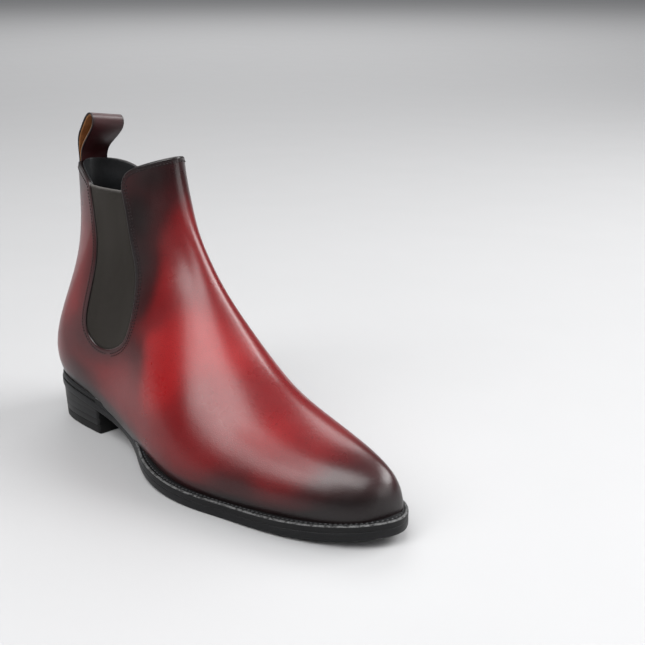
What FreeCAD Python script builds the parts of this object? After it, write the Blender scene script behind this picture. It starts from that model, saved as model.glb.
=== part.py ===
import FreeCAD
import Part
import Sketcher
import math
import os
from FreeCAD import Placement, Rotation, Vector

# A right chelsea boot. Lengths are in millimetres, +x is the toe and -y the lateral side.
# Outlines are listed with x measured forward from the back of the heel, y from the centreline of
# the heel and z up from the ground. The functions that draw them shift x and y so that the origin
# lies on the ground below the middle of the boot.

driving = {
    "middle_from_heel": 154.5,
    "middle_to_lateral": 7.8,
    "leather_thickness": 2.0,
    "stiffener_thickness": 0.9,
    "lining_thickness": 1.6,
    "gore_clearance": 0.3,
    "shaft_split_clearance": 0.3,
    "gore_top_height": 171.0,
    "side_seam_from_heel": 82.0,
    "sole_edge_thickness": 9.4,
    "welt_thickness": 4.0,
    "welt_width": 9.5,
    "insole_thickness": 3.0,
    "sock_thickness": 1.2,
    "heel_breast_from_heel": 66.0,
    "heel_half_width": 34.5,
    "top_piece_thickness": 6.0,
    "lift_thickness": 5.0,
    "shank_length": 105.0,
    "shank_width": 14.0,
    "shank_thickness": 1.5,
    "shank_from_heel": 42.0,
    "puff_length": 44.0,
    "puff_top_height": 60.0,
    "strap_width": 26.0,
    "strap_leather": 1.1,
    "strap_backing": 0.7,
    "side_reach": 90.0,
    "cut_height": 260.0,
    "box_margin": 50.0,
    "split_height": 58.0,
    "split_slope": 0.3,
}

# The last that the upper is pulled over, as rings from the toe to the top of the shaft.
# A ring stands on the line from its keel point to its ridge point, seen from the side. widest is
# where its greatest width lies on that line, and crown and base are the exponents of its two halves.
ringFields = ("ridge_x", "ridge_z", "keel_x", "keel_z", "widest", "lateral", "medial", "crown", "base")
rings = {
    "tip": (303, 23, 303, 9, 0.50, 3, 3, 2.0, 2.0),
    "toe": (300.5, 32, 300, 0, 0.50, 12, 9, 2.0, 2.1),
    "cap": (292, 40.5, 292, -6, 0.48, 22.5, 14, 2.0, 2.3),
    "forepart": (272, 47.5, 272, -9, 0.45, 33.5, 21.5, 2.0, 2.35),
    "tread": (242, 54, 240, -11, 0.41, 43.5, 31, 1.95, 2.4),
    "ball": (209, 67.5, 203, -12, 0.36, 52, 35.5, 1.75, 2.4),
    "waist": (182, 89, 160, -11, 0.34, 55.5, 35, 1.75, 2.35),
    "instep": (158, 113, 103, -6, 0.34, 45.5, 31.5, 1.8, 2.1),
    "throat": (142.5, 133.5, 43, -3, 0.31, 36, 32.5, 1.8, 2.05),
    "heel": (133, 150, 5, 22, 0.27, 36.5, 32.5, 1.85, 2.05),
    "counter": (127.5, 165.5, 1.5, 54, 0.31, 35, 31, 1.85, 1.95),
    "ankle": (124, 179, 13, 95, 0.41, 29, 27.5, 1.8, 1.8),
    "shaft": (122, 192, 21.5, 135, 0.46, 25.5, 25, 1.75, 1.8),
    "top": (121.5, 206, 22, 180, 0.48, 24, 24, 1.75, 1.85),
}
ringNames = list(rings)
ringPoints = 30
# How much higher the last ring of an inset last stands.
openTop = 6

# Top of the welt and heel seat, where the upper meets the sole, as (x, z).
featherLine = [(-12, 34.6), (10, 33.4), (33, 31), (66, 27.4), (100, 20.5), (130, 14), (160, 10.3),
               (205, 9.4), (250, 10.5), (280, 13), (330, 19.5)]

# Edge of the sole seen from above, as (x, y), from the heel along the lateral side to the toe.
soleEdge = [(0, 0), (11, -24.5), (33, -34), (66, -35.5), (94, -36), (118, -42.5), (140, -53),
            (165, -58.6), (190, -58), (215, -53), (245, -47), (272, -38), (292, -27), (304, -15),
            (309, -3), (305, 8), (294, 17.5), (275, 27), (250, 35.5), (220, 42), (190, 43),
            (158, 37), (130, 31), (100, 30.5), (66, 35), (33, 34), (11, 24.5)]

# The elastic gore seen from the side, as (x, z), down its front edge and up its back edge.
goreEdge = [(90.5, 171), (96, 153.5), (103, 129), (104.5, 108), (100.5, 81.5), (91.5, 70), (81, 65.8),
            (70, 66.3), (62, 73), (61, 84), (66, 101), (70.5, 120), (69, 138), (62.5, 158), (58.5, 171)]
frontTopline = [(90.5, 171), (91.8, 178.5), (95.5, 183), (103, 187), (113, 191), (122, 193.5), (135, 195)]
backTopline = [(58.5, 171), (54, 173.5), (47, 176), (37, 177.6), (22, 178), (-30, 178)]

# Outer face of the pull strap seen from the side, up its rear leg and down its front leg.
strapPath = [(28, 180), (28.3, 187), (31, 196), (36, 204), (41.5, 210), (46, 212.6), (49.6, 211),
             (50.2, 206.5), (48, 202), (43, 197), (37, 192), (33.6, 186), (32.4, 180)]

# The outlines that divide the upper run past it, to these limits. The cut between the front and the
# back piece climbs from the side seam through the gore, leaning back by cutLean.
farAhead = 340
farBehind = backTopline[-1][0]
farBelow = -20
cutLean = 7
goreBottom = min(z for x, z in goreEdge)

doc = FreeCAD.newDocument("boot")
sheet = doc.addObject("Spreadsheet::Sheet", "sheet")


def fillSheet():
    row = 1
    values = dict(driving)
    for ringName, numbers in rings.items():
        for field, number in zip(ringFields, numbers):
            values[ringName + "_" + field] = number
    for alias, number in values.items():
        sheet.set("A" + str(row), alias)
        sheet.set("B" + str(row), str(number))
        sheet.setAlias("B" + str(row), alias)
        row += 1
    doc.recompute()


def size(alias):
    return float(sheet.get(alias))


def fromHeel(x, y, z):
    return Vector(x - size("middle_from_heel"), y + size("middle_to_lateral"), z)


def inSideView(points):
    return [Vector(x - size("middle_from_heel"), 0, z) for x, z in points]


def inPlan(points):
    return [fromHeel(x, y, 0) for x, y in points]


def placeAt(piece, corner):
    piece.Placement = Placement(corner, Rotation())


def curveThrough(points, closed=False):
    curve = Part.BSplineCurve()
    curve.interpolate(Points=points, PeriodicFlag=closed)
    return curve.toShape()


def straightThrough(points):
    return [Part.LineSegment(a, b).toShape() for a, b in zip(points, points[1:])]


def wireObject(label, edges):
    wire = doc.addObject("Part::Feature", label)
    wire.Shape = Part.Wire(edges)
    return wire


def offsetPoints(points, distance, closed):
    # Moves each point square to the line through its two neighbours, to the left of the way round.
    moved = []
    last = len(points) - 1
    for index, (x, y) in enumerate(points):
        before = points[index - 1] if index or closed else points[0]
        after = points[(index + 1) % len(points)] if index < last or closed else points[last]
        along = Vector(after[0] - before[0], after[1] - before[1], 0).normalize()
        moved.append((x - distance * along.y, y + distance * along.x))
    return moved


def sidePrism(label, edges):
    # A solid with the given outline seen from the side, reaching the same way to both sides.
    prism = doc.addObject("Part::Extrusion", label)
    prism.Base = wireObject(label + "_outline", edges)
    prism.DirMode = "Custom"
    prism.Dir = Vector(0, 1, 0)
    prism.Solid = True
    prism.setExpression("LengthFwd", "sheet.side_reach")
    prism.setExpression("LengthRev", "sheet.side_reach")
    return prism


def planPrism(label, edges):
    prism = doc.addObject("Part::Extrusion", label)
    prism.Base = wireObject(label + "_outline", edges)
    prism.DirMode = "Custom"
    prism.Dir = Vector(0, 0, 1)
    prism.Solid = True
    prism.setExpression("LengthFwd", "sheet.cut_height")
    prism.setExpression("LengthRev", "sheet.side_reach")
    return prism


def cut(label, base, tool):
    result = doc.addObject("Part::Cut", label)
    result.Base = base
    result.Tool = tool
    return result


def common(label, *shapes):
    result = doc.addObject("Part::MultiCommon", label)
    result.Shapes = list(shapes)
    return result


def ringOutline(ringName, inset):
    # Points round one ring of the last, moved inward by the inset.
    def pair(name, kind):
        return fromHeel(size(name + "_" + kind + "_x"), 0, size(name + "_" + kind + "_z"))

    index = ringNames.index(ringName)
    before = ringNames[max(index - 1, 0)]
    after = ringNames[min(index + 1, len(ringNames) - 1)]
    ends = {}
    for kind, turn in (("ridge", 1), ("keel", -1)):
        along = (pair(after, kind) - pair(before, kind)).normalize()
        inward = Vector(-along.z * turn, 0, along.x * turn)
        ends[kind] = pair(ringName, kind) + inward * inset
        if inset and after == ringName:
            ends[kind] += Vector(0, 0, openTop)
    middle = ends["keel"] + (ends["ridge"] - ends["keel"]) * size(ringName + "_widest")
    widths = [size(ringName + "_lateral"), size(ringName + "_medial")]
    widths = [width * width / (width + inset) for width in widths]
    points = []
    for step in range(ringPoints):
        angle = 2 * math.pi * step / ringPoints - math.pi / 2
        upper = math.sin(angle) >= 0
        exponent = 2 / size(ringName + ("_crown" if upper else "_base"))
        arm = (ends["ridge"] if upper else ends["keel"]) - middle
        side = -widths[0] if math.cos(angle) >= 0 else widths[1]
        rise = abs(math.sin(angle)) ** exponent
        reach = abs(math.cos(angle)) ** exponent
        points.append(middle + arm * rise + Vector(0, side * reach, 0))
    return points


def smoothCurve(points, closed):
    # A cubic curve through the points, with one knot for each point.
    curve = Part.BSplineCurve()
    count = len(points) + (1 if closed else 0)
    steps = [float(step) for step in range(count)]
    curve.interpolate(Points=points, PeriodicFlag=closed, Parameters=steps)
    return curve


def lastSolid(label, inset):
    # The last as one smooth surface through its rings, closed at both ends. An inset last stands
    # higher than the full one, so that cutting it out leaves the shaft open.
    around = [smoothCurve(ringOutline(ringName, inset), True) for ringName in ringNames]
    ringPoles = [curve.getPoles() for curve in around]
    lengthwise = [smoothCurve(list(row), False) for row in zip(*ringPoles)]
    poles = [list(row) for row in zip(*[curve.getPoles() for curve in lengthwise])]
    surface = Part.BSplineSurface()
    surface.buildFromPolesMultsKnots(poles, lengthwise[0].getMultiplicities(),
                                     around[0].getMultiplicities(), lengthwise[0].getKnots(),
                                     around[0].getKnots(), False, True, 3, 3)
    first, final = surface.bounds()[0:2]
    ends = [Part.Face(Part.Wire([surface.uIso(end).toShape()])) for end in (first, final)]
    shell = Part.makeShell([surface.toShape()] + ends)
    shell.sewShape()
    solid = Part.Solid(shell)
    if solid.Volume < 0:
        solid.reverse()
    last = doc.addObject("Part::Feature", label)
    last.Shape = solid
    return last


def featherBand(label, low, high):
    # The slab between two copies of the feather line, shifted up or down.
    top = inSideView([(x, z + high) for x, z in featherLine])
    bottom = inSideView([(x, z + low) for x, z in featherLine])
    edges = [curveThrough(top), Part.LineSegment(top[-1], bottom[-1]).toShape(),
             curveThrough(bottom[::-1]), Part.LineSegment(bottom[0], top[0]).toShape()]
    return sidePrism(label, edges)


def seamCut():
    # The line between the front and the back piece, from below the sole to the top of the gore.
    seam = size("side_seam_from_heel")
    return [(seam, farBelow), (seam, goreBottom + 1), (seam - cutLean, size("gore_top_height"))]


def frontOutline():
    top = frontTopline[-1]
    rest = [top, (farAhead, top[1]), (farAhead, farBelow)] + seamCut() + [frontTopline[0]]
    return [curveThrough(inSideView(frontTopline))] + straightThrough(inSideView(rest))


def backOutline():
    rest = backTopline[-2:] + [(farBehind, farBelow)] + seamCut() + [backTopline[0]]
    return [curveThrough(inSideView(backTopline[:-1]))] + straightThrough(inSideView(rest))


def splitOutline(gap):
    # Everything below the slanted line on which the back of the shaft leans away from the heel.
    ahead = size("side_seam_from_heel") + size("box_margin")
    line = [(x, size("split_height") + size("split_slope") * x - gap) for x in (farBehind, ahead)]
    return straightThrough(inSideView(line + [(ahead, farBelow), (farBehind, farBelow), line[0]]))


def goreOutline(inset):
    # The top edge stays straight and the rest is a smooth U.
    around = offsetPoints(goreEdge, -inset, closed=False)
    around[0] = (around[0][0], goreEdge[0][1])
    around[-1] = (around[-1][0], goreEdge[-1][1])
    curve = inSideView(around)
    return [curveThrough(curve), Part.LineSegment(curve[-1], curve[0]).toShape()]


def heelBody(label, low, thickness):
    # One D-shaped layer of the heel, a padded sketch.
    body = doc.addObject("PartDesign::Body", label)
    sketch = body.newObject("Sketcher::SketchObject", label + "_sketch")
    plane = [f for f in body.Origin.OriginFeatures if f.Role == "XY_Plane"][0]
    sketch.AttachmentSupport = [(plane, "")]
    sketch.MapMode = "FlatFace"
    radius = size("heel_half_width")
    breast = size("heel_breast_from_heel")
    sketch.addGeometry(Part.ArcOfCircle(Part.Circle(Vector(radius, 0, 0), Vector(0, 0, 1), radius),
                                        math.pi / 2, 3 * math.pi / 2))
    sketch.addGeometry(Part.LineSegment(Vector(radius, -radius, 0), Vector(breast, -radius, 0)))
    sketch.addGeometry(Part.LineSegment(Vector(breast, -radius, 0), Vector(breast, radius, 0)))
    sketch.addGeometry(Part.LineSegment(Vector(breast, radius, 0), Vector(radius, radius, 0)))
    sketch.addConstraint(Sketcher.Constraint("Tangent", 0, 2, 1, 1))
    sketch.addConstraint(Sketcher.Constraint("Coincident", 1, 2, 2, 1))
    sketch.addConstraint(Sketcher.Constraint("Coincident", 2, 2, 3, 1))
    sketch.addConstraint(Sketcher.Constraint("Tangent", 3, 2, 0, 1))
    sketch.addConstraint(Sketcher.Constraint("Horizontal", 1))
    sketch.addConstraint(Sketcher.Constraint("Vertical", 2))
    sketch.addConstraint(Sketcher.Constraint("PointOnObject", 0, 3, -1))
    across = sketch.addConstraint(Sketcher.Constraint("Radius", 0, radius))
    middle = sketch.addConstraint(Sketcher.Constraint("DistanceX", -1, 1, 0, 3, radius))
    length = sketch.addConstraint(Sketcher.Constraint("DistanceX", -1, 1, 1, 2, breast))
    sketch.setExpression("Constraints[%d]" % across, "sheet.heel_half_width")
    sketch.setExpression("Constraints[%d]" % middle, "sheet.heel_half_width")
    sketch.setExpression("Constraints[%d]" % length, "sheet.heel_breast_from_heel")
    pad = body.newObject("PartDesign::Pad", label + "_pad")
    pad.Profile = sketch
    pad.setExpression("Length", thickness)
    placeAt(body, fromHeel(0, 0, low))
    return body


def strapLayer(label, outer, inner):
    # One layer of the doubled strap, between two depths below its outer face.
    sides = []
    for depth in (outer, inner):
        side = offsetPoints(strapPath, -depth, closed=False)
        side[0] = (side[0][0], strapPath[0][1])
        side[-1] = (side[-1][0], strapPath[-1][1])
        sides.append(inSideView(side))
    edges = [curveThrough(sides[0]), Part.LineSegment(sides[0][-1], sides[1][-1]).toShape(),
             curveThrough(sides[1][::-1]), Part.LineSegment(sides[1][0], sides[0][0]).toShape()]
    prism = sidePrism(label, edges)
    prism.setExpression("LengthFwd", "sheet.strap_width / 2")
    prism.setExpression("LengthRev", "sheet.strap_width / 2")
    placeAt(prism, Vector(0, size("middle_to_lateral"), 0))
    return prism


fillSheet()
leather = size("leather_thickness")
stiffener = size("stiffener_thickness")
lining = size("lining_thickness")
edge = size("sole_edge_thickness")
welt = size("welt_thickness")

outerLast = lastSolid("outer_last", 0)
leatherLast = lastSolid("leather_last", leather)
stiffenerLast = lastSolid("stiffener_last", leather + stiffener)
cavityLast = lastSolid("cavity_last", leather + lining)
nodes = {}


def boxObject(label, corner, length, width, height):
    box = doc.addObject("Part::Box", label)
    box.setExpression("Length", length)
    box.setExpression("Width", width)
    box.setExpression("Height", height)
    placeAt(box, corner)
    return box


def skin(label, region, outer, inner):
    # The layer between two lasts, inside a region.
    return common(label, cut(label + "_room", region, inner), outer)


def upperPieces():
    # One front piece, and a back piece that is split where the shaft leans away from the heel.
    # The stiffeners lie between leather and lining, so the lining is thinner over them.
    aboveFeather = featherBand("above_feather", 0, size("cut_height"))
    goreSide = sidePrism("gore_side", goreOutline(0))
    goreInside = sidePrism("gore_inside", goreOutline(size("gore_clearance")))
    front = cut("front_region", common("front_side", aboveFeather,
                                       sidePrism("front_half", frontOutline())), goreSide)
    back = cut("back_region", common("back_side", aboveFeather,
                                     sidePrism("back_half", backOutline())), goreSide)
    belowSplit = sidePrism("below_split", splitOutline(size("shaft_split_clearance")))
    upToSplit = sidePrism("up_to_split", splitOutline(0))
    heel = common("heel_region", back, belowSplit)
    shaft = cut("shaft_region", back, upToSplit)
    nodes["front_upper"] = skin("front_upper", front, outerLast, leatherLast)
    nodes["heel_upper"] = skin("heel_upper", heel, outerLast, leatherLast)
    nodes["shaft_upper"] = skin("shaft_upper", shaft, outerLast, leatherLast)

    toeCorner = Vector(size("tip_ridge_x") - size("puff_length") - size("middle_from_heel"),
                       -size("side_reach"), 0)
    toeBox = boxObject("toe_box", toeCorner, "sheet.puff_length + sheet.box_margin", "2 * sheet.side_reach",
                       "sheet.puff_top_height")
    puffRoom = cut("puff_room", common("puff_region", aboveFeather, toeBox), stiffenerLast)
    nodes["toe_puff"] = common("toe_puff", puffRoom, leatherLast)
    nodes["heel_counter"] = skin("heel_counter", heel, leatherLast, stiffenerLast)
    nodes["front_lining"] = cut("front_lining",
                                skin("front_lining_full", front, leatherLast, cavityLast), puffRoom)
    nodes["heel_lining"] = skin("heel_lining", heel, stiffenerLast, cavityLast)
    nodes["shaft_lining"] = skin("shaft_lining", shaft, leatherLast, cavityLast)

    goreRegions = {"lateral_gore": -size("side_reach"), "medial_gore": size("middle_to_lateral")}
    for label, start in goreRegions.items():
        half = boxObject(label + "_half", Vector(-size("middle_from_heel"), start, 0),
                         "sheet.cut_height", "sheet.side_reach", "sheet.cut_height")
        nodes[label] = skin(label, common(label + "_region", goreInside, half), outerLast, leatherLast)


def solePieces():
    # The welt runs round the front of the heel breast, and the heel rand closes the ring behind it.
    outline = curveThrough(inPlan(soleEdge), closed=True)
    inner = curveThrough(inPlan(offsetPoints(soleEdge, size("welt_width"), closed=True)), closed=True)
    plan = planPrism("sole_plan", [outline])
    core = planPrism("core_plan", [inner])
    behind = fromHeel(-size("box_margin"), -size("side_reach"), farBelow)
    heelBox = boxObject("heel_box", behind, "sheet.heel_breast_from_heel + sheet.box_margin",
                        "2 * sheet.side_reach", "sheet.cut_height")
    topBand = featherBand("welt_band", -welt, 0)
    ring = cut("welt_ring", common("welt_sheet", topBand, plan), core)
    nodes["welt"] = cut("welt", ring, heelBox)
    nodes["heel_rand"] = common("heel_rand", ring, heelBox)
    start = fromHeel(size("shank_from_heel"), -size("shank_width") / 2, farBelow)
    shankBox = boxObject("shank_box", start, "sheet.shank_length", "sheet.shank_width",
                         "sheet.cut_height")
    shankTop = -welt / 2 + size("shank_thickness") / 2
    shankBand = featherBand("shank_band", shankTop - size("shank_thickness"), shankTop)
    shank = common("shank", shankBand, shankBox)
    nodes["shank"] = shank
    nodes["cork_filler"] = cut("cork_filler", common("cork_full", topBand, core), shank)
    nodes["outsole"] = common("outsole", featherBand("outsole_band", -edge, -welt), plan)
    board = size("insole_thickness")
    nodes["insole"] = common("insole", featherBand("insole_band", 0, board), cavityLast)
    sockBand = featherBand("sock_band", board, board + size("sock_thickness"))
    nodes["sock_lining"] = common("sock_lining", sockBand, cavityLast)


def heelPieces():
    # A rubber top piece, two level lifts, and a wedge lift that takes up the slope of the seat.
    nodes["top_piece"] = heelBody("top_piece", 0, "sheet.top_piece_thickness")
    low = size("top_piece_thickness")
    for number in (1, 2):
        label = "heel_lift_" + str(number)
        nodes[label] = heelBody(label, low, "sheet.lift_thickness")
        low += size("lift_thickness")
    block = heelBody("wedge_block", low, "3 * sheet.lift_thickness")
    seat = featherBand("seat_band", -edge, size("cut_height"))
    nodes["heel_wedge"] = cut("heel_wedge", block, seat)


def strapPieces():
    leatherDepth = size("strap_leather")
    nodes["pull_loop"] = strapLayer("pull_loop", 0, leatherDepth)
    nodes["pull_loop_backing"] = strapLayer("pull_loop_backing", leatherDepth,
                                            leatherDepth + size("strap_backing"))


def checkDocument():
    for item in doc.Objects:
        if "Invalid" in item.State or "Error" in item.State:
            raise RuntimeError(item.Label + " failed to recompute")
    for label, node in nodes.items():
        if node.Shape.isNull() or not node.Shape.isValid() or node.Shape.Volume <= 0:
            raise RuntimeError(label + " has no valid solid")


def writeFiles():
    os.makedirs("parts", exist_ok=True)
    for label, node in nodes.items():
        node.Label = label
        node.Shape.exportStep("parts/" + label + ".step")
        box = node.Shape.BoundBox
        print("%-18s solids %d volume %9.1f x %6.1f %6.1f y %6.1f %6.1f z %6.1f %6.1f" % (
            label, len(node.Shape.Solids), node.Shape.Volume,
            box.XMin, box.XMax, box.YMin, box.YMax, box.ZMin, box.ZMax))


upperPieces()
solePieces()
heelPieces()
strapPieces()
doc.recompute()
checkDocument()
writeFiles()
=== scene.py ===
import math

import bmesh
import bpy
import numpy as np
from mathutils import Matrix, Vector
from mathutils.geometry import delaunay_2d_cdt


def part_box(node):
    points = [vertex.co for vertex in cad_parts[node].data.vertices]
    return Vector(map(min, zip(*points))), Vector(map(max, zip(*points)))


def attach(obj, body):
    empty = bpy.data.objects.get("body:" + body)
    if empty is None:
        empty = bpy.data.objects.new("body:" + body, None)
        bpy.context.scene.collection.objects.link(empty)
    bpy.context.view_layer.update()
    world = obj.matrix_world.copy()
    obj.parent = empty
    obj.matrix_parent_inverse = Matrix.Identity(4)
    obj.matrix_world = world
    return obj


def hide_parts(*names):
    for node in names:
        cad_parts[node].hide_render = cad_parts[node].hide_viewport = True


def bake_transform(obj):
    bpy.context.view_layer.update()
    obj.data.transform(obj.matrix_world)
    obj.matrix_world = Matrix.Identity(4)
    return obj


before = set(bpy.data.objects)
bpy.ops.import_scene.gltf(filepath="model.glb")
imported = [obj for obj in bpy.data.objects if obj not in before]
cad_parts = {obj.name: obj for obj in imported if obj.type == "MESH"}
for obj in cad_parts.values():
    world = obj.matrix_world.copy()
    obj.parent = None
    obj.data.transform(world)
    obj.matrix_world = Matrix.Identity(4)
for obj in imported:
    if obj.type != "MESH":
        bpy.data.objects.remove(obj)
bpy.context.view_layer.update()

# Shapes are worked out in millimetres from the back of the heel and the heel's centreline, as in
# the CAD model, and toFrame puts them in the frame's metres.
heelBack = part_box("outsole")[0][0]
heelCentre = (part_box("top_piece")[0][1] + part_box("top_piece")[1][1]) / 2


def toFrame(points):
    points = np.asarray(points, float)
    return points * 0.001 + np.array([heelBack, heelCentre, 0])


def smoothStep(value, low, high):
    part = np.clip((np.asarray(value, float) - low) / (high - low), 0, 1)
    return part * part * (3 - 2 * part)


def splineThrough(values, closed=False):
    # A smooth curve through the rows of values. The result is called with row numbers, whole or not.
    values = np.array(values, float)
    if values.ndim == 1:
        values = values[:, None]
    count = len(values)
    matrix = np.zeros((count, count))
    right = np.zeros_like(values)
    for row in range(count):
        if closed or 0 < row < count - 1:
            before, after = (row - 1) % count, (row + 1) % count
            matrix[row, before], matrix[row, row], matrix[row, after] = 1, 4, 1
            right[row] = 6 * (values[before] - 2 * values[row] + values[after])
        else:
            matrix[row, row] = 1
    bend = np.linalg.solve(matrix, right)

    def at(place):
        place = np.asarray(place, float)
        index = np.floor(place).astype(int)
        index = index % count if closed else np.clip(index, 0, count - 2)
        part = (place - np.floor(place) if closed else place - index)[..., None]
        after = (index + 1) % count
        rest = 1 - part
        return (values[index] * rest + values[after] * part + (rest ** 3 - rest) * bend[index] / 6
                + (part ** 3 - part) * bend[after] / 6)

    return at


def sampleCurve(points, step, closed=False):
    # Points at even steps along the smooth curve through the given points.
    count = len(points)
    curve = splineThrough(points, closed)
    dense = curve(np.linspace(0, count if closed else count - 1, count * 60 + 1))
    length = np.concatenate([[0], np.cumsum(np.linalg.norm(np.diff(dense, axis=0), axis=1))])
    number = max(int(round(length[-1] / step)), 2)
    wanted = np.linspace(0, length[-1], number + 1)
    even = np.stack([np.interp(wanted, length, dense[:, axis]) for axis in range(dense.shape[1])], 1)
    return even[:-1] if closed else even


def heightCurve(points):
    # A height as a smooth function of x.
    dense = sampleCurve(points, 0.5)
    return lambda x: np.interp(x, dense[:, 0], dense[:, 1])


# The last is the shape that the upper is pulled over. Its rings run from the toe to the top of the
# shaft: ridge x and z, keel x and z, height of the widest place between keel and ridge, widths to
# the lateral and medial side, and the exponents of the upper and lower half.
lastRings = [
    (303.6, 16, 303.6, 14, 0.50, 0.6, 0.6, 2.0, 2.0),
    (303, 23, 303, 9, 0.50, 5, 5, 2.0, 2.0),
    (300.5, 32, 300, 0, 0.50, 12, 9, 2.0, 2.1),
    (292, 40.5, 292, -6, 0.48, 22.5, 14, 2.0, 2.3),
    (272, 47.5, 272, -9, 0.45, 33.5, 21.5, 2.0, 2.35),
    (242, 54, 240, -11, 0.41, 43.5, 31, 1.95, 2.4),
    (209, 67.5, 203, -12, 0.36, 52, 35.5, 1.75, 2.4),
    (182, 89, 160, -11, 0.34, 55.5, 35, 1.75, 2.35),
    (158, 113, 103, -6, 0.34, 45.5, 31.5, 1.8, 2.1),
    (142.5, 133.5, 43, -3, 0.31, 36, 32.5, 1.8, 2.05),
    (133, 150, 5, 22, 0.27, 36.5, 32.5, 1.85, 2.05),
    (127.5, 165.5, 1.5, 54, 0.31, 35, 31, 1.85, 1.95),
    (124, 179, 13, 95, 0.41, 29, 27.5, 1.8, 1.8),
    (122, 192, 21.5, 135, 0.46, 25.5, 25, 1.75, 1.8),
    (121.5, 206, 22, 180, 0.48, 24, 24, 1.75, 1.85),
]
lastAlong = splineThrough(lastRings)
lastEnd = len(lastRings) - 0.9  # a little past the last ring, for the back of the topline


def lastPoint(along, angle):
    # A point of the last. angle is 0 at the lateral side, a quarter turn on the ridge, and half a
    # turn at the medial side.
    along, angle = np.broadcast_arrays(np.asarray(along, float), np.asarray(angle, float))
    ring = np.moveaxis(lastAlong(along), -1, 0)
    ridgeX, ridgeZ, keelX, keelZ, widest, lateral, medial, crown, base = ring
    upper = np.sin(angle) >= 0
    exponent = 2 / np.where(upper, crown, base)
    rise = np.abs(np.sin(angle)) ** exponent
    reach = np.abs(np.cos(angle)) ** exponent
    middleX = keelX + widest * (ridgeX - keelX)
    middleZ = keelZ + widest * (ridgeZ - keelZ)
    x = middleX + np.where(upper, ridgeX - middleX, keelX - middleX) * rise
    z = middleZ + np.where(upper, ridgeZ - middleZ, keelZ - middleZ) * rise
    y = np.where(np.cos(angle) >= 0, -lateral, medial) * reach
    return np.stack([x, y, z], -1)


def lastTangents(along, angle):
    lengthStep, angleStep = 0.01, 0.004
    ahead, behind = lastPoint(along + lengthStep, angle), lastPoint(along - lengthStep, angle)
    lengthwise = (ahead - behind) / (2 * lengthStep)
    around = (lastPoint(along, angle + angleStep) - lastPoint(along, angle - angleStep)) / (2 * angleStep)
    return lengthwise, around


def lastNormal(along, angle):
    lengthwise, around = lastTangents(along, angle)
    normal = np.cross(around, lengthwise)
    length = np.linalg.norm(normal, axis=-1, keepdims=True)
    return normal / np.maximum(length, 1e-9)


# Outlines seen from the side, as (x, z).
featherPoints = [(-12, 34.6), (10, 33.4), (33, 31), (66, 27.4), (100, 20.5), (130, 14), (160, 10.3),
                 (205, 9.4), (250, 10.5), (280, 13), (330, 19.5)]
featherHeight = heightCurve(featherPoints)
goreFront = [(90.5, 171), (96, 153.5), (103, 129), (104.5, 108), (100.5, 81.5), (91.5, 70), (81, 65.8)]
goreBack = [(81, 65.8), (70, 66.3), (62, 73), (61, 84), (66, 101), (70.5, 120), (69, 138),
            (62.5, 158), (58.5, 171)]
frontTop = [(90.5, 171), (91.2, 177), (94.3, 182), (100, 185.6), (110, 189.4), (122, 193), (135, 196)]
backTop = [(58.5, 171), (54.5, 173.6), (47, 176.9), (37, 179.4), (22, 180.6), (5, 180.6), (-30, 180.6)]
goreTopHeight = goreFront[0][1]
goreDrop = 0.4  # how far the elastic's top edge lies below the leather's
seamX = 82
cellSize = 1.3  # spacing that the grid cut from the last is expected to have


def feather(start, stop, below):
    x = np.linspace(start, stop, 60)
    return np.stack([x, featherHeight(x) - below], 1)


wholeGore = sampleCurve(goreFront + goreBack[1:], 1.0)


def upperOutline():
    # The whole upper in one piece: topline in front, sole, topline at the back, and round the gore.
    front, back = sampleCurve(frontTop, 1.0), sampleCurve(backTop, 1.0)
    return np.concatenate([front, [(340, 196)], feather(340, -30, 3), back[::-1], wholeGore[::-1]])


def widen(outline, distance):
    along = np.gradient(outline, axis=0)
    along /= np.linalg.norm(along, axis=1, keepdims=True)
    return outline + distance * np.stack([-along[:, 1], along[:, 0]], 1)


def goreOutline(margin):
    # The elastic reaches a little way under the leather, except along its own top edge.
    wide = widen(wholeGore, margin)
    wide = wide[wide[:, 1] < goreTopHeight - 0.5]
    top = goreTopHeight - goreDrop
    return np.concatenate([[(wide[0, 0], top)], wide, [(wide[-1, 0], top)]])


def signedDistance(points, outline):
    # Distance from the outline in the side view, positive inside it.
    flat = points[..., [0, 2]].reshape(-1, 2)
    start = outline
    run = np.roll(outline, -1, axis=0) - start
    squares = np.maximum((run ** 2).sum(1), 1e-12)
    result = np.empty(len(flat))
    for first in range(0, len(flat), 4000):
        part = flat[first:first + 4000]
        away = part[:, None] - start[None]
        share = np.clip((away * run[None]).sum(2) / squares[None], 0, 1)
        gap = away - share[..., None] * run[None]
        nearest = np.sqrt((gap ** 2).sum(2).min(1))
        above = (start[None, :, 1] > part[:, None, 1]) != (np.roll(start[:, 1], -1)[None] > part[:, None, 1])
        slope = np.where(np.abs(run[:, 1]) < 1e-12, 1e-12, run[:, 1])
        crossing = start[None, :, 0] + away[..., 1] / slope[None] * run[None, :, 0]
        inside = (above & (part[:, None, 0] < crossing)).sum(1) % 2 == 1
        result[first:first + 4000] = np.where(inside, nearest, -nearest)
    return result.reshape(points.shape[:-1])


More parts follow.
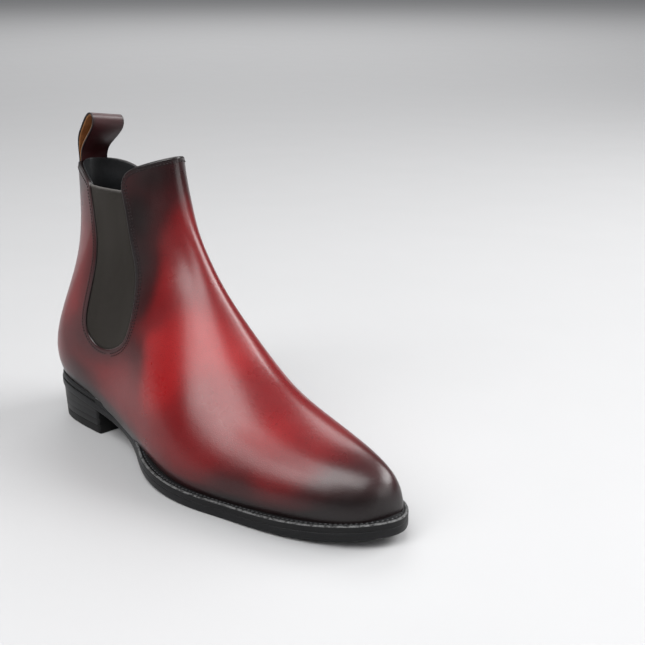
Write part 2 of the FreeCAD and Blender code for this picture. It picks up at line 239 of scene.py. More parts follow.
def moveToLevel(along, angle, field, level, rounds=3):
    # Slides points over the last, by the shortest way, until the field has the wanted level.
    for _ in range(rounds):
        value = field(lastPoint(along, angle))
        step, turn = 0.004, 0.002
        slopeAlong = (field(lastPoint(along + step, angle)) - value) / step
        slopeAngle = (field(lastPoint(along, angle + turn)) - value) / turn
        lengthwise, around = lastTangents(along, angle)
        first = (lengthwise ** 2).sum(-1)
        mixed = (lengthwise * around).sum(-1)
        last = (around ** 2).sum(-1)
        area = np.maximum(first * last - mixed ** 2, 1e-6)
        moveAlong = (last * slopeAlong - mixed * slopeAngle) / area
        moveAngle = (first * slopeAngle - mixed * slopeAlong) / area
        steep = np.maximum(slopeAlong * moveAlong + slopeAngle * moveAngle, 0.05)
        size = np.clip(level - value, -3, 3) / steep
        along = np.clip(along + moveAlong * size, 0.02, lastEnd)
        angle = angle + moveAngle * size
    return along, angle


def clipLast(alongs, angles, field, cell):
    # The part of the last's grid where the field is positive, with its edge moved onto the zero line.
    along, angle = np.meshgrid(alongs, angles, indexing="ij")
    value = field(lastPoint(along, angle))
    near = np.abs(value) < cell * 0.4
    along[near], angle[near] = moveToLevel(along[near], angle[near], field, 0)
    value[near] = 0
    rows, columns = value.shape
    number = np.arange(rows * columns).reshape(rows, columns)
    corners = np.stack([number[:-1, :-1], number[1:, :-1], number[1:, 1:], number[:-1, 1:]], -1).reshape(-1, 4)
    value, along, angle = value.ravel(), along.ravel(), angle.ravel()
    kept = (value[corners] >= 0).sum(1)
    faces = [tuple(face) for face in corners[kept == 4]]
    extraAlong, extraAngle, extraKey = [], [], {}
    total = len(value)
    for face in corners[(kept > 0) & (kept < 4)]:
        loop = []
        for here, there in zip(face, np.roll(face, -1)):
            if value[here] >= 0:
                loop.append(int(here))
            if value[here] * value[there] < 0:
                key = (min(here, there), max(here, there))
                if key not in extraKey:
                    part = value[here] / (value[here] - value[there])
                    extraKey[key] = total + len(extraAlong)
                    extraAlong.append(along[here] + part * (along[there] - along[here]))
                    extraAngle.append(angle[here] + part * (angle[there] - angle[here]))
                loop.append(extraKey[key])
        if len(loop) > 2:
            faces.append(tuple(loop))
    if extraAlong:
        moved = moveToLevel(np.array(extraAlong), np.array(extraAngle), field, 0)
        along, angle = np.concatenate([along, moved[0]]), np.concatenate([angle, moved[1]])
    onEdge = np.concatenate([value == 0, np.ones(len(extraAlong), bool)])
    return along, angle, faces, onEdge


def edgeLoops(faces, onEdge):
    # Runs of edges that only one face uses and that lie on the cut, each as a list of points.
    count = {}
    for face in faces:
        for here, there in zip(face, face[1:] + face[:1]):
            count[(here, there)] = count.get((here, there), 0) + 1
    follow = {}
    for (here, there) in count:
        if (there, here) not in count and onEdge[here] and onEdge[there]:
            follow[here] = there
    loops = []
    starts = [here for here in follow if here not in set(follow.values())]
    while follow:
        here = starts.pop() if starts else next(iter(follow))
        if here not in follow:
            continue
        loop = [here]
        while here in follow:
            here = follow.pop(here)
            loop.append(here)
        loops.append(loop)
    return loops


foldTurns = (0.3, 0.6, 0.85, 1.1, 1.35, 1.5708, 1.8, 2.1, 2.5, math.pi)


def lastSheet(name, alongs, angles, outline, depth, roll, fold, values, flange=5):
    # A sheet of leather or cloth lying on the last inside the outline. depth is how far it lies
    # below the surface. Its edge is turned in: roll is how far the turn reaches from the edge, fold
    # gives half the thickness that it turns through at each point, and flange is what it turns in.
    def field(points):
        return signedDistance(points, outline) - roll

    along, angle, faces, onEdge = clipLast(alongs, angles, field, cellSize)
    share = np.zeros(len(along))
    for loop in edgeLoops(faces, onEdge):
        ring = np.array(loop)
        previous = list(loop)
        for turn in foldTurns + (None,):  # the last step lays the flange flat
            level, turned = (flange, 2.0) if turn is None else (-roll * math.sin(turn), 1 - math.cos(turn))
            moved = moveToLevel(along[ring], angle[ring], field, level, 2)
            start = len(along)
            along, angle = np.concatenate([along, moved[0]]), np.concatenate([angle, moved[1]])
            share = np.concatenate([share, np.full(len(ring), turned)])
            current = list(range(start, start + len(ring)))
            if loop[0] == loop[-1]:
                current[-1] = current[0]
            for index in range(len(ring) - 1):
                faces.append((previous[index + 1], previous[index], current[index], current[index + 1]))
            previous = current
    used = np.zeros(len(along), bool)
    for face in faces:
        used[list(face)] = True
    order = np.cumsum(used) - 1
    faces = [tuple(int(order[corner]) for corner in face) for face in faces]
    along, angle, share = along[used], angle[used], share[used]
    surface = lastPoint(along, angle)
    below = depth(surface) + share * fold(surface)
    points = surface - lastNormal(along, angle) * below[:, None]
    return meshObject(name, toFrame(points), faces, True, values(along, angle, surface, share))


def gridFaces(rows, columns, closedRows=False, closedColumns=False):
    # Four-cornered faces between points that are numbered row by row.
    faces = []
    for row in range(rows if closedRows else rows - 1):
        below = (row + 1) % rows
        for column in range(columns if closedColumns else columns - 1):
            after = (column + 1) % columns
            faces.append((row * columns + column, row * columns + after, below * columns + after,
                          below * columns + column))
    return faces


def endFaces(rows, columns):
    # Caps over the first and the last row.
    return [tuple(range(columns))[::-1], tuple((rows - 1) * columns + column for column in range(columns))]


def meshObject(name, points, faces, smooth=True, values=None):
    mesh = bpy.data.meshes.new(name)
    mesh.from_pydata([tuple(map(float, point)) for point in points], [], faces)
    for label, numbers in (values or {}).items():
        numbers = np.asarray(numbers, float)
        kind = "FLOAT" if numbers.ndim == 1 else "FLOAT_VECTOR"
        field = "value" if numbers.ndim == 1 else "vector"
        mesh.attributes.new(label, kind, "POINT").data.foreach_set(field, numbers.ravel())
    mesh.validate()
    mesh.polygons.foreach_set("use_smooth", [smooth] * len(mesh.polygons))
    made = bpy.data.objects.new(name, mesh)
    bpy.context.scene.collection.objects.link(made)
    return made


def contourPath(alongs, angles, outline, level, keep):
    # Points and normals along the line at a set distance inside an outline, where keep is true.
    def field(points):
        return signedDistance(points, outline) - level

    along, angle, faces, onEdge = clipLast(alongs, angles, field, cellSize)
    paths = []
    for loop in edgeLoops(faces, onEdge):
        points = lastPoint(along[loop], angle[loop])
        normals = lastNormal(along[loop], angle[loop])
        inside = keep(points)
        begin = 0
        for index in range(len(loop) + 1):
            if index == len(loop) or not inside[index]:
                if index - begin > 4:
                    paths.append((points[begin:index], normals[begin:index]))
                begin = index + 1
    return paths


def stitchMesh(name, paths, pitch, length, width, rise, tilt=0.0, shift=0.0):
    # Short rounded threads laid end to end along the paths, each path a pair of points and normals.
    ringCount, sides = 5, 6
    points, faces = [], []
    for path, normals in paths:
        run = np.concatenate([[0], np.cumsum(np.linalg.norm(np.diff(path, axis=0), axis=1))])
        for place in np.arange(pitch * (0.5 + shift), run[-1] - pitch * 0.5, pitch):
            centre = np.array([np.interp(place, run, path[:, axis]) for axis in range(3)])
            ahead = np.array([np.interp(place + 0.4, run, path[:, axis]) for axis in range(3)]) - centre
            up = np.array([np.interp(place, run, normals[:, axis]) for axis in range(3)])
            up /= np.linalg.norm(up)
            ahead -= up * (ahead @ up)
            ahead /= np.linalg.norm(ahead) + 1e-9
            across = np.cross(up, ahead)
            ahead, across = (ahead * math.cos(tilt) + across * math.sin(tilt),
                             across * math.cos(tilt) - ahead * math.sin(tilt))
            start = len(points)
            for ring in range(ringCount):
                part = -1 + 2 * ring / (ringCount - 1)
                scale = math.sqrt(max(1 - part ** 4, 0.0)) * 0.94 + 0.06
                for side in range(sides):
                    turn = 2 * math.pi * side / sides
                    offset = (ahead * part * length / 2 + across * math.cos(turn) * scale * width / 2
                              + up * (math.sin(turn) * scale * width / 2 + rise - 0.12 * part ** 4))
                    points.append(centre + offset)
            for ring in range(ringCount - 1):
                for side in range(sides):
                    here = start + ring * sides + side
                    there = start + ring * sides + (side + 1) % sides
                    faces.append((here, there, there + sides, here + sides))
            faces.append(tuple(start + side for side in range(sides))[::-1])
            faces.append(tuple(start + (ringCount - 1) * sides + side for side in range(sides)))
    return meshObject(name, toFrame(points), faces)


def newGroup(name, inputs, outputs):
    group = bpy.data.node_groups.new(name, "ShaderNodeTree")
    for label, kind, value in inputs:
        socket = group.interface.new_socket(label, in_out="INPUT", socket_type="NodeSocket" + kind)
        if value is not None:
            socket.default_value = value
    for label, kind in outputs:
        group.interface.new_socket(label, in_out="OUTPUT", socket_type="NodeSocket" + kind)
    return group, NodeSet(group)


class NodeSet:
    # Adds nodes to a tree and wires them up. A value given to a node is a number or another socket.
    def __init__(self, tree):
        self.tree = tree
        self.count = 0

    def add(self, kind, **settings):
        node = self.tree.nodes.new(kind)
        node.location = (220 * (self.count % 8), -260 * (self.count // 8))
        self.count += 1
        for label, value in settings.items():
            setattr(node, label, value)
        return node

    def put(self, socket, value):
        if isinstance(value, bpy.types.NodeSocket):
            self.tree.links.new(value, socket)
        elif value is not None:
            socket.default_value = value

    def math(self, operation, first, second=None):
        node = self.add("ShaderNodeMath", operation=operation)
        self.put(node.inputs[0], first)
        self.put(node.inputs[1], second)
        return node.outputs[0]

    def scaled(self, place, factors):
        node = self.add("ShaderNodeVectorMath", operation="MULTIPLY")
        self.put(node.inputs[0], place)
        node.inputs[1].default_value = factors
        return node.outputs[0]

    def noise(self, place, scale, detail=3.0, roughness=0.55):
        node = self.add("ShaderNodeTexNoise")
        self.put(node.inputs["Vector"], place)
        self.put(node.inputs["Scale"], scale)
        node.inputs["Detail"].default_value = detail
        node.inputs["Roughness"].default_value = roughness
        return node.outputs["Fac"]

    def cells(self, place, scale, feature="DISTANCE_TO_EDGE"):
        node = self.add("ShaderNodeTexVoronoi", feature=feature)
        self.put(node.inputs["Vector"], place)
        self.put(node.inputs["Scale"], scale)
        return node.outputs["Distance"]

    def spread(self, value, low, high, start=0.0, stop=1.0):
        node = self.add("ShaderNodeMapRange", interpolation_type="SMOOTHSTEP")
        for label, number in zip(("Value", "From Min", "From Max", "To Min", "To Max"),
                                 (value, low, high, start, stop)):
            self.put(node.inputs[label], number)
        return node.outputs[0]

    def mix(self, share, first, second):
        node = self.add("ShaderNodeMix", data_type="RGBA")
        self.put(node.inputs[0], share)
        self.put(node.inputs[6], first)
        self.put(node.inputs[7], second)
        return node.outputs[2]

    def attribute(self, name, output="Fac"):
        return self.add("ShaderNodeAttribute", attribute_name=name).outputs[output]

    def place(self):
        return self.add("ShaderNodeTexCoord").outputs["Object"]

    def bump(self, height, strength, distance, normal=None):
        node = self.add("ShaderNodeBump")
        self.put(node.inputs["Height"], height)
        node.inputs["Strength"].default_value = strength
        node.inputs["Distance"].default_value = distance
        self.put(node.inputs["Normal"], normal)
        return node.outputs[0]

    def use(self, group, **values):
        node = self.add("ShaderNodeGroup", node_tree=group)
        for label, value in values.items():
            self.put(node.inputs[label], value)
        return node.outputs


def finish(name, settings):
    # A material with one Principled shader whose constant sockets are set here.
    material = bpy.data.materials.new(name)
    material.use_nodes = True
    shader = material.node_tree.nodes["Principled BSDF"]
    for label, value in settings.items():
        shader.inputs[label].default_value = value
    return material, NodeSet(material.node_tree), shader


def makeGrainGroup():
    # Calf grain: fine pebbles with soft valleys, and a mask that lets colour settle in them.
    group, nodes = newGroup("CalfGrain", [("Place", "Vector", None), ("Size", "Float", 900.0)],
                            [("Height", "Float"), ("Valleys", "Float")])
    start, end = nodes.add("NodeGroupInput"), nodes.add("NodeGroupOutput")
    place = start.outputs["Place"]
    wander = nodes.noise(place, 260.0, 2.0)
    pebbles = nodes.cells(place, start.outputs["Size"])
    pores = nodes.noise(place, nodes.math("MULTIPLY", start.outputs["Size"], 2.2), 2.0)
    height = nodes.math("ADD", nodes.spread(pebbles, 0.0, 0.35), nodes.math("MULTIPLY", pores, 0.5))
    height = nodes.math("MULTIPLY", height, nodes.spread(wander, 0.25, 0.7, 0.55, 1.0))
    nodes.put(end.inputs["Height"], height)
    nodes.put(end.inputs["Valleys"], nodes.spread(pebbles, 0.12, 0.0))
    return group


def makeCreaseGroup():
    # Fine creases that run round the leg, where the leather bends.
    group, nodes = newGroup("BendCreases", [("Run", "Vector", None), ("Amount", "Float", 1.0)],
                            [("Height", "Float")])
    start, end = nodes.add("NodeGroupInput"), nodes.add("NodeGroupOutput")
    long = nodes.scaled(start.outputs["Run"], (0.42, 0.035, 1.0))
    fine = nodes.scaled(start.outputs["Run"], (1.1, 0.11, 1.0))
    fineHeight = nodes.math("MULTIPLY", nodes.noise(fine, 1.0, 2.0), 0.5)
    height = nodes.math("ADD", nodes.noise(long, 1.0, 3.0), fineHeight)
    nodes.put(end.inputs["Height"], nodes.math("MULTIPLY", height, start.outputs["Amount"]))
    return group


def makeWearGroup():
    # Faint uneven dulling, and masks of fine scuffs.
    group, nodes = newGroup("HandlingWear", [("Place", "Vector", None), ("Amount", "Float", 1.0)],
                            [("Dulling", "Float"), ("Scuffs", "Float")])
    start, end = nodes.add("NodeGroupInput"), nodes.add("NodeGroupOutput")
    broad = nodes.noise(start.outputs["Place"], 22.0, 4.0, 0.6)
    streaks = nodes.noise(nodes.scaled(start.outputs["Place"], (60, 420, 260)), 1.0, 3.0)
    amount = start.outputs["Amount"]
    nodes.put(end.inputs["Dulling"], nodes.math("MULTIPLY", nodes.spread(broad, 0.35, 0.7), amount))
    nodes.put(end.inputs["Scuffs"], nodes.math("MULTIPLY", nodes.spread(streaks, 0.64, 0.8), amount))
    return group


grainGroup = makeGrainGroup()
creaseGroup = makeCreaseGroup()
wearGroup = makeWearGroup()

leatherLook = {"red": (0.135, 0.0040, 0.0055, 1), "glow": (0.265, 0.0070, 0.0085, 1),
               "wine": (0.034, 0.0028, 0.0036, 1), "black": (0.0050, 0.0020, 0.0022, 1), "roughness": 0.27,
               "grain": 950.0, "clouds": 0.48, "flecks": 0.03}


def makeUpperLeather(name, look):
    # Burnished calf: red, darkened to wine and black by the burnish attribute and cloudy polish. The burnish
    # attribute also holds painted shade where the edges turn under.
    material, nodes, shader = finish(name, {"Specular IOR Level": 0.5, "Coat Weight": 0.06,
                                            "Coat Roughness": 0.2, "IOR": 1.45})
    place = nodes.place()
    grain = nodes.use(grainGroup, Place=place, Size=look["grain"])
    wear = nodes.use(wearGroup, Place=place, Amount=1.0)
    broad = nodes.noise(place, 26.0, 2.5, 0.45)
    small = nodes.noise(place, 150.0, 3.0, 0.6)
    cloud = nodes.math("ADD", nodes.math("MULTIPLY", nodes.math("SUBTRACT", broad, 0.5), look["clouds"]),
                       nodes.math("MULTIPLY", nodes.math("SUBTRACT", small, 0.5), look["flecks"]))
    # The burnish attribute is burnished polish together with painted shade on the leather that turns under at
    # the edges.
    dark = nodes.math("ADD", nodes.attribute("burnish"), cloud)
    glow = nodes.math("ADD", nodes.attribute("glow"), cloud)
    colour = nodes.mix(nodes.spread(glow, 0.25, 0.95), look["red"], look["glow"])
    colour = nodes.mix(nodes.spread(dark, 0.06, 0.66), colour, look["wine"])
    colour = nodes.mix(nodes.spread(dark, 0.50, 1.25), colour, look["black"])
    colour = nodes.mix(nodes.math("MULTIPLY", grain["Valleys"], 0.35), colour, look["black"])
    nodes.put(shader.inputs["Base Color"], colour)
    rough = nodes.math("ADD", nodes.math("MULTIPLY", wear["Dulling"], 0.08), look["roughness"])
    rough = nodes.math("ADD", rough, nodes.math("MULTIPLY", wear["Scuffs"], 0.03))
    nodes.put(shader.inputs["Roughness"], rough)
    crease = nodes.use(creaseGroup, Run=nodes.attribute("run", "Vector"), Amount=nodes.attribute("bend"))
    normal = nodes.bump(crease["Height"], 0.1, 0.0002)
    nodes.put(shader.inputs["Normal"], nodes.bump(grain["Height"], 0.22, 0.00012, normal))
    return material


def makeBlackLeather(name, colour, roughness, grainSize, lift):
    material, nodes, shader = finish(name, {"Specular IOR Level": 0.45, "Coat Weight": 0.15,
                                            "Coat Roughness": 0.35})
    place = nodes.place()
    grain = nodes.use(grainGroup, Place=place, Size=grainSize)
    wear = nodes.use(wearGroup, Place=place, Amount=1.0)
    lighter = tuple(channel * lift for channel in colour) + (1,)
    shade = nodes.mix(nodes.spread(nodes.noise(place, 90.0, 4.0), 0.3, 0.75), colour + (1,), lighter)
    shade = nodes.mix(nodes.math("MULTIPLY", wear["Scuffs"], 0.5), shade, lighter)
    nodes.put(shader.inputs["Base Color"], shade)
    rough = nodes.math("ADD", nodes.math("MULTIPLY", wear["Dulling"], 0.16), roughness)
    nodes.put(shader.inputs["Roughness"], rough)
    nodes.put(shader.inputs["Normal"], nodes.bump(grain["Height"], 0.35, 0.00015))
    return material


def makeThread(name, colour):
    material, nodes, shader = finish(name, {"Specular IOR Level": 0.25, "Sheen Weight": 0.04,
                                            "Sheen Roughness": 0.4})
    place = nodes.place()
    twist = nodes.add("ShaderNodeTexWave", wave_type="BANDS", bands_direction="DIAGONAL")
    nodes.put(twist.inputs["Vector"], place)
    twist.inputs["Scale"].default_value = 900.0
    twist.inputs["Distortion"].default_value = 2.0
    darker = tuple(channel * 0.45 for channel in colour) + (1,)
    shade = nodes.mix(nodes.noise(place, 700.0, 2.0), darker, colour + (1,))
    nodes.put(shader.inputs["Base Color"], shade)
    nodes.put(shader.inputs["Roughness"], nodes.spread(nodes.noise(place, 300.0), 0.2, 0.8, 0.45, 0.65))
    nodes.put(shader.inputs["Normal"], nodes.bump(twist.outputs["Fac"], 0.5, 0.0001))
    return material


def makeElastic():
    # Woven elastic: upright ribs with a fine cross weave between them.
    material, nodes, shader = finish("goreElastic", {"Specular IOR Level": 0.18, "Sheen Weight": 0.08,
                                                     "Sheen Roughness": 0.5,
                                                     "Sheen Tint": (0.8, 0.74, 0.68, 1)})
    run = nodes.attribute("run", "Vector")
    parts = nodes.add("ShaderNodeSeparateXYZ")
    nodes.put(parts.inputs[0], run)
    place = nodes.place()
    wobble = nodes.math("MULTIPLY", nodes.math("SUBTRACT", nodes.noise(place, 120.0, 2.0), 0.5), 0.5)
    across = nodes.math("ADD", parts.outputs["Y"], wobble)
    rib = nodes.math("ABSOLUTE", nodes.math("SINE", nodes.math("MULTIPLY", across, math.pi / 0.95)))
    upward = nodes.math("MULTIPLY", parts.outputs["X"], math.pi / 0.55)
    pick = nodes.math("ABSOLUTE", nodes.math("SINE", upward))
    between = nodes.math("ADD", nodes.math("MULTIPLY", pick, 0.45), 0.55)
    weave = nodes.math("MULTIPLY", nodes.math("POWER", rib, 0.6), between)
    uneven = nodes.noise(nodes.scaled(run, (0.02, 0.5, 1.0)), 1.0, 3.0)
    shade = nodes.mix(weave, (0.0066, 0.0055, 0.0044, 1), (0.0195, 0.0163, 0.0132, 1))
    shade = nodes.mix(nodes.spread(uneven, 0.3, 0.75, 0.0, 0.4), shade, (0.016, 0.0136, 0.0116, 1))
    shade = nodes.mix(nodes.attribute("hem"), shade, (0.10, 0.095, 0.09, 1))
    nodes.put(shader.inputs["Base Color"], shade)
    nodes.put(shader.inputs["Roughness"], nodes.spread(weave, 0.0, 1.0, 0.9, 0.68))
    nodes.put(shader.inputs["Normal"], nodes.bump(weave, 0.6, 0.00025))
    return material


def makeSoleEdge(name, colour, roughness, layering):
    # Dyed and waxed edge: faint lines along the layers, with the ridges rubbed lighter.
    material, nodes, shader = finish(name, {"Specular IOR Level": 0.22, "Coat Weight": 0.05,
                                            "Coat Roughness": 0.3})
    place = nodes.place()
    wear = nodes.use(wearGroup, Place=place, Amount=1.0)
    grain = nodes.use(grainGroup, Place=place, Size=1300.0)
    layers = nodes.noise(nodes.scaled(place, (25, 25, layering)), 1.0, 3.0)
    lighter = tuple(channel * 1.4 for channel in colour) + (1,)
    shade = nodes.mix(nodes.spread(layers, 0.35, 0.75), colour + (1,), lighter)
    patchy = nodes.spread(nodes.noise(place, 500.0), 0.3, 0.6)
    rubbed = nodes.math("MULTIPLY", nodes.attribute("rub"), patchy)
    shade = nodes.mix(rubbed, shade, (0.11, 0.11, 0.11, 1))
    nodes.put(shader.inputs["Base Color"], shade)
    rough = nodes.math("ADD", nodes.math("MULTIPLY", wear["Dulling"], 0.12), roughness)
    nodes.put(shader.inputs["Roughness"], rough)
    fine = nodes.math("MULTIPLY", grain["Height"], 0.25)
    height = nodes.math("ADD", nodes.math("MULTIPLY", layers, 0.5), fine)
    nodes.put(shader.inputs["Normal"], nodes.bump(height, 0.15, 0.00012))
    return material


def makeRaw(name, colour, other, roughness, scale, stretch, metallic=0.0):
    # Inner parts: two shades in streaks or flecks, with a matching fine relief.
    material, nodes, shader = finish(name, {"Metallic": metallic, "Specular IOR Level": 0.35})
    place = nodes.place()
    streaks = nodes.noise(nodes.scaled(place, stretch), scale, 4.0, 0.6)
    flecks = nodes.cells(place, scale * 3, "F1")
    shade = nodes.mix(nodes.spread(streaks, 0.3, 0.7), colour + (1,), other + (1,))
    darker = tuple(channel * 0.5 for channel in colour) + (1,)
    shade = nodes.mix(nodes.spread(flecks, 0.3, 0.05, 0.0, 0.35), shade, darker)
    nodes.put(shader.inputs["Base Color"], shade)
    nodes.put(shader.inputs["Roughness"], nodes.spread(streaks, 0.2, 0.8, roughness, min(roughness + 0.2, 1)))
    nodes.put(shader.inputs["Normal"], nodes.bump(nodes.math("ADD", streaks, flecks), 0.3, 0.0003))
    return material


upperLeather = makeUpperLeather("burnishedCalf", leatherLook)
liningLeather = makeBlackLeather("liningLeather", (0.0030, 0.0034, 0.0042), 0.45, 700.0, 2.0)
strapLook = dict(leatherLook, red=(0.050, 0.0045, 0.0060, 1), wine=(0.020, 0.0022, 0.0030, 1),
                 roughness=0.42)
strapLeather = makeUpperLeather("strapCalf", strapLook)
weltLeather = makeSoleEdge("weltLeather", (0.0042, 0.0042, 0.0046), 0.45, 500)
soleBlack = makeSoleEdge("soleBlack", (0.0050, 0.0051, 0.0057), 0.42, 600)
heelBlack = makeSoleEdge("heelBlack", (0.0058, 0.0058, 0.0061), 0.36, 900)
rubberBlack = makeSoleEdge("topPieceRubber", (0.0055, 0.0055, 0.0056), 0.5, 300)
upperThread = makeThread("upperThread", (0.014, 0.0075, 0.0080))
weltThread = makeThread("weltThread", (0.055, 0.055, 0.058))
goreElastic = makeElastic()
backingTan = makeRaw("backingTan", (0.20, 0.080, 0.024), (0.30, 0.135, 0.048), 0.55, 60.0, (3, 3, 3))
boardFibre = makeRaw("boardFibre", (0.36, 0.28, 0.18), (0.48, 0.40, 0.28), 0.8, 200.0, (1, 1, 1))
insoleTan = makeRaw("insoleTan", (0.40, 0.24, 0.12), (0.50, 0.32, 0.18), 0.7, 90.0, (1, 1, 1))
corkBrown = makeRaw("corkBrown", (0.34, 0.19, 0.09), (0.20, 0.10, 0.045), 0.85, 260.0, (1, 1, 1))
shankSteel = makeRaw("shankSteel", (0.45, 0.45, 0.46), (0.55, 0.55, 0.56), 0.3, 40.0, (2, 30, 30), 1.0)
print("materials made")


def dress(piece, body, material, slot, *nodes):
    piece.data.materials.clear()
    piece.data.materials.append(material)
    if nodes:
        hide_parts(*nodes)
    if body:
        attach(piece, body)
    return piece


upper = {"roll": 1.2, "topFold": 1.3, "goreFold": 0.85, "stitchPitch": 2.1, "stitchLength": 1.5,
         "stitchWidth": 0.8, "goreStitchIn": 3.0, "goreStitchGap": 1.7}

# Places where the polish is burnt dark or left bright: x, y, z, radius and strength.
darkPatches = [(306, -8, 22, 44, 0.85), (284, -30, 20, 28, 0.45), (262, 8, 44, 28, 0.18),
               (48, -36, 44, 26, 0.36), (38, -37, 69, 18, 0.24), (30, 34, 48, 32, 0.4),
               (4, 0, 48, 26, 0.4), (117, -35, 72, 15, 0.34), (116, -40, 55, 16, 0.26),
               (108, -22, 100, 14, 0.34), (110, -22, 124, 18, 0.46), (108, -20, 150, 20, 0.56),
               (112, -14, 176, 27, 0.66), (174, -43, 60, 12, 0.20), (177, -9, 90, 18, 0.12),
               (208, -11, 68, 18, 0.14), (222, -47, 20, 22, 0.40), (117, 33, 72, 18, 0.36),
               (110, 22, 124, 18, 0.40), (160, 26, 40, 24, 0.2), (24, -10, 165, 34, 0.62),
               (20, 0, 130, 24, 0.22), (112, 14, 176, 24, 0.5), (250, 30, 22, 26, 0.3),
               (230, 10, 58, 16, 0.12)]
brightPatches = [(122, -16, 122, 20, 0.5), (155, -24, 98, 26, 0.7), (130, -34, 80, 14, 0.6),
                 (151, -40, 70, 26, 0.8), (183, -14, 84, 22, 0.5), (141, -44, 50, 22, 0.5),
                 (200, -36, 56, 34, 0.5), (236, -22, 48, 26, 0.5), (150, 30, 90, 26, 0.7),
                 (190, 24, 60, 30, 0.5), (124, -6, 158, 14, 0.4), (50, -35, 92, 18, 0.5),
                 (12, 0, 108, 26, 0.4), (236, 16, 40, 22, 0.4)]


patchSoftness = 0.62  # the share of a patch's radius at which it has faded by two fifths


def patchSum(points, patches):
    total = np.zeros(len(points))
    for x, y, z, radius, strength in patches:
        away = ((points - np.array([x, y, z])) ** 2).sum(1)
        total += strength * np.exp(-away / (2 * (radius * patchSoftness) ** 2))
    return total


alongTable = np.linspace(0, lastEnd, 1411)
ringStep = lastPoint(alongTable[:, None], np.radians([[-90, -45, 0, 45, 90, 135, 180, 225]]))
ringStep = np.linalg.norm(np.diff(ringStep, axis=0), axis=2).mean(1)
alongLength = np.concatenate([[0], np.cumsum(ringStep)])


def evenAlongs(start, stop, step):
    # Places along the last a set distance apart, measured over the whole girth.
    first, last = np.interp([start, stop], alongTable, alongLength)
    count = int((last - first) / step) + 2
    return np.interp(np.linspace(first, last, count), alongLength, alongTable)


# How dark the burnish is beside the edges and the welt, the painted shade on the turned-under part of the
# edges, and where the ankle creases.
polish = {"edge": 0.42, "nearEdge": 0.40, "welt": 0.60, "nearWelt": 0.36, "underFoldPaintedShade": 0.3}
creases = {"centre": (138, 0, 126), "reach": 22, "strength": 0.8, "everywhere": 0.06}
girthPerDegree = 0.62


def upperValues(along, angle, surface, share):
    toEdge = signedDistance(surface, upperLine)
    toWelt = surface[:, 2] - featherHeight(surface[:, 0])
    atTop = smoothStep(surface[:, 2], 40, 60)
    burnishAndFoldShade = polish["edge"] * (1 - smoothStep(toEdge, -1, 5))
    burnishAndFoldShade += (polish["nearEdge"] * (1 - smoothStep(toEdge, 3, 24))) * atTop
    burnishAndFoldShade += polish["welt"] * (1 - smoothStep(toWelt, 1, 9))
    burnishAndFoldShade += polish["nearWelt"] * (1 - smoothStep(toWelt, 3, 26))
    # Burnished patches, plus painted shade: the part of each edge that turns under is darkened as if it lay in
    # shadow.
    burnishAndFoldShade += patchSum(surface, darkPatches) + (share > 0.5) * polish["underFoldPaintedShade"]
    away = ((surface - creases["centre"]) ** 2).sum(1)
    ankle = creases["strength"] * np.exp(-away / (2 * creases["reach"] ** 2)) + creases["everywhere"]
    lengthwise = np.interp(along, alongTable, alongLength)
    run = np.stack([lengthwise, np.degrees(angle) * girthPerDegree, 0 * along], 1)
    return {"burnish": np.clip(burnishAndFoldShade, 0, 1.6), "glow": np.clip(patchSum(surface, brightPatches), 0, 1.2),
            "bend": ankle, "run": run}


def topFold(surface):
    return np.where(surface[:, 2] > goreTopHeight - 2, upper["topFold"], upper["goreFold"])


upperLine = upperOutline()
wholeAngles = np.radians(np.linspace(-90, 270, 261))


def noDepth(surface):
    return 0 * surface[:, 0]


def splitAtSeam(sheet, frontName, backName):
    # Parts a sheet into a front and a back piece below the gore. The two stay closed up at the join.
    made = []
    for name, keepFront in ((frontName, True), (backName, False)):
        mesh = sheet.data.copy()
        mesh.name = name
        work = bmesh.new()
        work.from_mesh(mesh)
        bmesh.ops.remove_doubles(work, verts=work.verts, dist=0.00002)
        everything = work.verts[:] + work.edges[:] + work.faces[:]
        onSeam = Vector(map(float, toFrame([seamX, 0, 0])))
        bmesh.ops.bisect_plane(work, geom=everything, plane_co=onSeam, plane_no=Vector((1, 0, 0)),
                               clear_inner=keepFront, clear_outer=not keepFront)
        work.to_mesh(mesh)
        work.free()
        piece = bpy.data.objects.new(name, mesh)
        bpy.context.scene.collection.objects.link(piece)
        made.append(piece)
    bpy.data.objects.remove(sheet)
    return made


print("cutting the upper")
wholeUpper = lastSheet("upper", evenAlongs(0.02, lastEnd, 1.15), wholeAngles, upperLine, noDepth,
                       upper["roll"], topFold, upperValues)
frontPiece, backPiece = splitAtSeam(wholeUpper, "upper_front", "upper_back")
dress(frontPiece, "boot", upperLeather, "upper_leather", "front_upper")
dress(backPiece, None, upperLeather, "upper_leather", "heel_upper", "shaft_upper")
print("upper", len(frontPiece.data.vertices), len(backPiece.data.vertices))

# The elastic gores. margin is how far they reach under the leather.
gore = {"margin": 8.0, "depth": 1.25, "sink": 0.5, "sinkReach": 9.0, "hem": 1.3, "hemLift": 0.35,
        "roll": 0.5, "halfThick": 0.45, "hemShade": 0.9, "lean": 0.067}
goreLine = goreOutline(gore["margin"])
goreFoot = 66


def goreValues(along, angle, surface, share):
    # The ribs lean with the gore. run is the height and the way across it.
    across = surface[:, 0] + (surface[:, 2] - goreFoot) * gore["lean"]
    hem = smoothStep(surface[:, 2], goreTopHeight - goreDrop - gore["hem"], goreTopHeight - 0.9)
    return {"run": np.stack([surface[:, 2], across, 0 * along], 1), "hem": hem * gore["hemShade"]}


def goreDepth(surface):
    # The elastic sinks a little between the two pieces of leather.
    inward = signedDistance(surface, wholeGore)
    sink = gore["sink"] * smoothStep(inward, 0, gore["sinkReach"])
    return gore["depth"] + sink - gore["hemLift"] * (surface[:, 2] > goreTopHeight - 2.2)


def goreFold(surface):
    return gore["halfThick"] + 0 * surface[:, 0]


